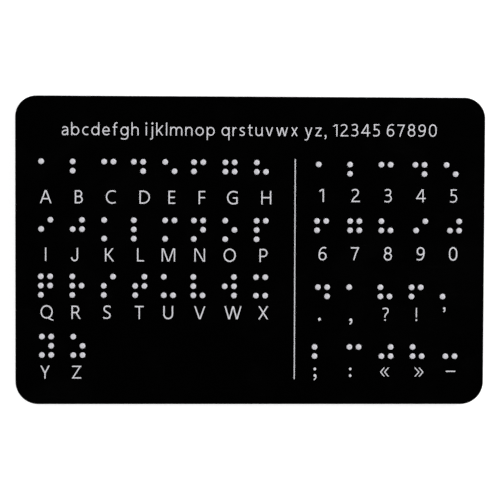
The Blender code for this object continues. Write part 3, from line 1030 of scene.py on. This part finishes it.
def without_seams(shape, points, triangles):
    """The faces of a flat shape, joined where they meet in one plane."""
    used = each_once(i for triangle in triangles for i in triangle)
    corners = {i: shape.verts.new((*points[i], -INK_SINK)) for i in used}
    flat = [shape.faces.new([corners[i] for i in triangle]) for triangle in triangles]
    for face in flat:
        face.normal_update()
    seams = each_once(edge for face in flat for edge in face.edges)
    bmesh.ops.dissolve_limit(shape, angle_limit=SEAM_ANGLE, verts=list(corners.values()), edges=seams)
    return each_once(face for corner in corners.values() if corner.is_valid for face in corner.link_faces)


def lay_ink(shape, points, triangles, left, base):
    """Adds a film of ink to a shape in millimetres: its underside, its shoulders and its top."""
    upper = without_seams(shape, points, triangles)
    copied = bmesh.ops.duplicate(shape, geom=upper)["geom"]
    lower = [part for part in copied if isinstance(part, bmesh.types.BMFace)]
    bmesh.ops.reverse_faces(shape, faces=lower)
    shoulders = bmesh.ops.inset_region(
        shape, faces=upper, thickness=INK_SHOULDER, use_even_offset=True, use_boundary=True
    )["faces"]
    for corner in each_once(v for face in upper for v in face.verts):
        corner.co.z = INK_HEIGHT
    rims = each_once(v for face in (*lower, *shoulders) for v in face.verts if v.co.z < 0)
    bmesh.ops.remove_doubles(shape, verts=rims, dist=WELD_DISTANCE)
    laid = each_once(v for face in (*lower, *shoulders, *upper) if face.is_valid for v in face.verts)
    bmesh.ops.translate(shape, verts=laid, vec=(left, base, 0))
    loose = [v for v in shape.verts if not v.link_faces]
    bmesh.ops.delete(shape, geom=loose, context="VERTS")


def open_edges(shape):
    """The number of edges without exactly two faces. A closed film has none."""
    return sum(not edge.is_manifold for edge in shape.edges)


def printed(shape, name):
    """Turns ink that was laid in millimetres into a piece on the board's face."""
    onto_face = Matrix.Translation((0, 0, FACE)) @ Matrix.Scale(MM, 4)
    bmesh.ops.transform(shape, matrix=onto_face, verts=shape.verts)
    return as_piece(shape, name, ink_white)


print("ink film in mm", INK_HEIGHT, "with shoulders of", INK_SHOULDER)

# %% [markdown]
# ## Printing the characters
# Each character stands below its cell and is a piece of its own, so that any of them can be left out or
# moved. The places are their lower left corners, in millimetres from the middle of the board.

# %% Print the characters
PLACES = {
    "A": (-56.99, 12.64), "B": (-47.59, 12.62), "C": (-39.24, 12.55), "D": (-30.18, 12.57),
    "E": (-22.35, 12.56), "F": (-14.20, 12.50), "G": (-6.54, 12.46), "H": (2.75, 12.51),
    "I": (-55.60, -2.94), "J": (-48.58, -3.02), "K": (-39.45, -3.03), "L": (-30.80, -3.03),
    "M": (-24.16, -3.06), "N": (-15.31, -3.06), "O": (-7.40, -3.11), "P": (2.32, -3.12),
    "Q": (-56.81, -19.08), "R": (-48.49, -18.62), "S": (-39.96, -18.61), "T": (-31.41, -18.67),
    "U": (-23.68, -18.68), "V": (-15.35, -18.64), "W": (-7.15, -18.66), "X": (1.96, -18.67),
    "Y": (-56.96, -34.83), "Z": (-48.37, -34.81),
    "1": (18.50, 13.23), "2": (27.20, 13.22), "3": (36.16, 13.15), "4": (44.77, 13.21), "5": (54.06, 13.15),
    "6": (18.31, -2.62), "7": (27.15, -2.56), "8": (36.10, -2.63), "9": (45.04, -2.60), "0": (53.86, -2.61),
    "period": (18.34, -19.02), "comma": (26.82, -20.09), "question_mark": (35.86, -19.04),
    "exclamation_mark": (44.88, -19.06), "apostrophe": (52.39, -16.68), "semicolon": (17.13, -35.27),
    "colon": (26.79, -34.35), "opening_quote": (35.17, -34.26), "closing_quote": (44.57, -34.27),
    "hyphen": (53.23, -32.98),
}

opened = 0
for name, (left, base) in PLACES.items():
    width, top, *strokes = CHARACTERS[name]
    shape = bmesh.new()
    pen = PENS.get(name, PEN)
    lay_ink(shape, *merged(strokes, pen, STEM - pen / 2, width, 0, top), left, base)
    opened += open_edges(shape)
    printed(shape, "print_" + name)
print("printed characters", len(PLACES), "open edges", opened)

# %% [markdown]
# ## The header line
# A line of small print along the top lists the characters that the board teaches. Many small letters
# have the same round bowl or the same arch, so these two are drawn by functions. The pen is thinner than
# for the large characters, and the middle of an outer stem stands inside the edge by POST.


# %% Draw the small letters
HEADER_PEN = 0.311
X_HEIGHT = 2.50
ASCENT = 3.65
DESCENT = -1.15
POST = 0.22


def arch(left, right):
    """From a stem at the left, over the top, and down a stem at the right."""
    middle = (left + right) / 2 + .05
    over = curve(left, 1.45, left + .08, 1.98, middle - .4, 2.28, middle, 2.28,
                 right - .22, 2.28, right, 2.0, right, 1.45)
    return joined(over, line(right, 1.45, right, 0))


def bowl(middle):
    """The round part that b, d, g, p and q have in common."""
    return arc(middle, 1.25, .91, 1.03, 0, 360)


SMALL = {
    "a": (
        1.85, X_HEIGHT,
        joined(curve(.22, 2.02, .5, 2.22, .7, 2.28, .92, 2.28, 1.4, 2.28, 1.63, 2.0, 1.63, 1.55),
               stem(1.63, 1.55, 0)),
        curve(1.63, 1.42, 1.2, 1.38, .22, 1.40, .22, .70, .22, .38, .45, .21, .78, .21,
              1.2, .21, 1.63, .5, 1.63, 1.0),
    ),
    "b": (2.28, ASCENT, stem(POST, 0, ASCENT), bowl(1.15)),
    "c": (
        1.75, X_HEIGHT,
        joined(arc(1.2, 1.25, 1.2, 1.03, 55, 90), arc(1.2, 1.25, .98, 1.03, 90, 270),
               arc(1.2, 1.25, 1.2, 1.03, 270, 305)),
    ),
    "d": (2.28, ASCENT, stem(2.06, 0, ASCENT), bowl(1.13)),
    "e": (
        2.10, X_HEIGHT,
        joined(bar(1.22, .25, 1.88), arc(1.08, 1.25, .80, 1.03, 0, 90),
               arc(1.08, 1.25, .86, 1.03, 90, 270), arc(1.08, 1.25, 1.2, 1.03, 270, 312)),
    ),
    "f": (
        1.40, ASCENT, joined(curve(1.5, 3.38, 1.0, 3.5, .57, 3.4, .57, 2.75), stem(.57, 2.75, 0)),
        bar(2.28, 0, 1.30),
    ),
    "g": (
        2.28, X_HEIGHT, bowl(1.13),
        joined(stem(2.06, 2.50, .1),
               curve(2.06, .1, 2.06, -.65, 1.6, -.93, 1.05, -.93, .75, -.93, .45, -.86, .2, -.70)),
    ),
    "h": (2.05, ASCENT, stem(POST, 0, ASCENT), arch(POST, 1.83)),
    "i": (0.56, 3.60, stem(.28, 0, X_HEIGHT), blot(.28, 3.30, .27, .27)),
    "j": (
        0.95, 3.60, blot(.67, 3.30, .27, .27),
        joined(stem(.67, 2.5, -.35), curve(.67, -.35, .67, -.80, .45, -.98, -.1, -.86)),
    ),
    "k": (1.95, ASCENT, stem(POST, 0, ASCENT), line(.28, 1.05, 1.86, 2.80), line(.72, 1.50, 1.98, -.30)),
    "l": (0.44, ASCENT, stem(POST, 0, ASCENT)),
    "m": (3.40, X_HEIGHT, stem(POST, 0, X_HEIGHT), arch(POST, 1.70), arch(1.70, 3.18)),
    "n": (2.05, X_HEIGHT, stem(POST, 0, X_HEIGHT), arch(POST, 1.83)),
    "o": (2.35, X_HEIGHT, arc(1.175, 1.25, .955, 1.03, 0, 360)),
    "p": (2.28, X_HEIGHT, stem(POST, DESCENT, X_HEIGHT), bowl(1.15)),
    "q": (2.28, X_HEIGHT, stem(2.06, DESCENT, X_HEIGHT), bowl(1.13)),
    "r": (1.20, X_HEIGHT, stem(POST, 0, X_HEIGHT), curve(POST, 1.35, .3, 1.95, .6, 2.36, 1.3, 2.22)),
    "s": (
        1.60, X_HEIGHT,
        curve(1.42, 2.12, 1.2, 2.24, 1.05, 2.28, .88, 2.28, .5, 2.28, .28, 2.1, .28, 1.83,
              .28, 1.5, .55, 1.4, .8, 1.27, 1.1, 1.12, 1.36, 1.0, 1.36, .68, 1.36, .38, 1.1, .22, .72, .22,
              .5, .22, .3, .26, .05, .42),
    ),
    "t": (
        1.35, 3.15, joined(stem(.55, 3.15, .72), curve(.55, .72, .55, .3, .8, .12, 1.45, .28)),
        bar(2.28, 0, 1.32),
    ),
    "u": (
        2.05, X_HEIGHT, stem(1.83, 0, X_HEIGHT),
        joined(stem(POST, 2.5, 1.05),
               curve(POST, 1.05, .22, .5, .45, .22, .95, .22, 1.4, .22, 1.75, .52, 1.83, 1.05)),
    ),
    "v": (2.15, X_HEIGHT, slant(.23, X_HEIGHT, 1.05, 0), slant(1.92, X_HEIGHT, 1.10, 0)),
    "w": (
        3.35, X_HEIGHT, slant(.23, X_HEIGHT, .92, 0), slant(1.65, X_HEIGHT, .96, 0),
        slant(1.70, X_HEIGHT, 2.39, 0), slant(3.12, X_HEIGHT, 2.43, 0),
    ),
    "x": (2.00, X_HEIGHT, slant(.27, X_HEIGHT, 1.73, 0), slant(1.73, X_HEIGHT, .27, 0)),
    "y": (
        2.15, X_HEIGHT, line(.13, 2.80, 1.12, -.08),
        joined(line(2.04, 2.80, 1.00, -.30), curve(1.00, -.30, .80, -.85, .55, -1.0, .0, -.90)),
    ),
    "z": (1.85, X_HEIGHT, bar(2.28, .12, 1.76), line(1.60, 2.22, .26, .28), bar(POST, .06, 1.80)),
    ",": (0.62, 0.45, blot(.30, .22, .24, .24), curve(.34, .25, .55, .05, .45, -.45, .08, -.62)),
}
print("small letters", len(SMALL))

# %% [markdown]
# The line is as wide as the cells below it. What its characters and spaces leave of that is shared out
# as the gaps between them. The digits are those of the large print, a little smaller.

# %% Print the header
HEADER = "abcdefgh ijklmnop qrstuvwx yz, 12345 67890"
HEADER_LEFT = -51.07
HEADER_RIGHT = 50.40
HEADER_BASE = 31.0
HANGING = "gjpqy,"
DIGIT_SHRINK = 0.92
WORD_SPACE = 1.05


def header_character(character):
    """The width, the lowest and highest points and the strokes of a character in the header."""
    if character in SMALL:
        width, top, *strokes = SMALL[character]
        return width, DESCENT if character in HANGING else 0, top, strokes
    width, top, *strokes = DIGITS[character]
    strokes = [[point * DIGIT_SHRINK for point in stroke] for stroke in strokes]
    return width * DIGIT_SHRINK, 0, top * DIGIT_SHRINK, strokes


words = HEADER.split(" ")
inked = sum(header_character(c)[0] for word in words for c in word)
spaces = WORD_SPACE * (len(words) - 1)
gap = (HEADER_RIGHT - HEADER_LEFT - inked - spaces) / (len(HEADER.replace(" ", "")) - 1)
shape = bmesh.new()
pen_place = HEADER_LEFT
for character in HEADER:
    if character == " ":
        pen_place += WORD_SPACE
        continue
    width, bottom, top, strokes = header_character(character)
    ink = merged(strokes, HEADER_PEN, POST - HEADER_PEN / 2, width, bottom, top)
    lay_ink(shape, *ink, pen_place, HEADER_BASE)
    pen_place += width + gap
print("header gap in mm", round(gap, 3), "open edges", open_edges(shape))
printed(shape, "print_header")

# %% [markdown]
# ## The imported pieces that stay
# The dividing strip, the film and the back panel are plain slabs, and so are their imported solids, which
# stay. A finish is set on the object and not on its mesh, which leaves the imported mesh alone.

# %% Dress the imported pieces
PACKED_FINISHES = {"divider_strip": strip_white, "adhesive_film": film_tape, "back_panel": black_matte}

for name, finish in PACKED_FINISHES.items():
    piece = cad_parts[name]
    for slot in piece.material_slots:
        slot.link = "OBJECT"
        slot.material = finish
    print(name, "wears", finish.name)
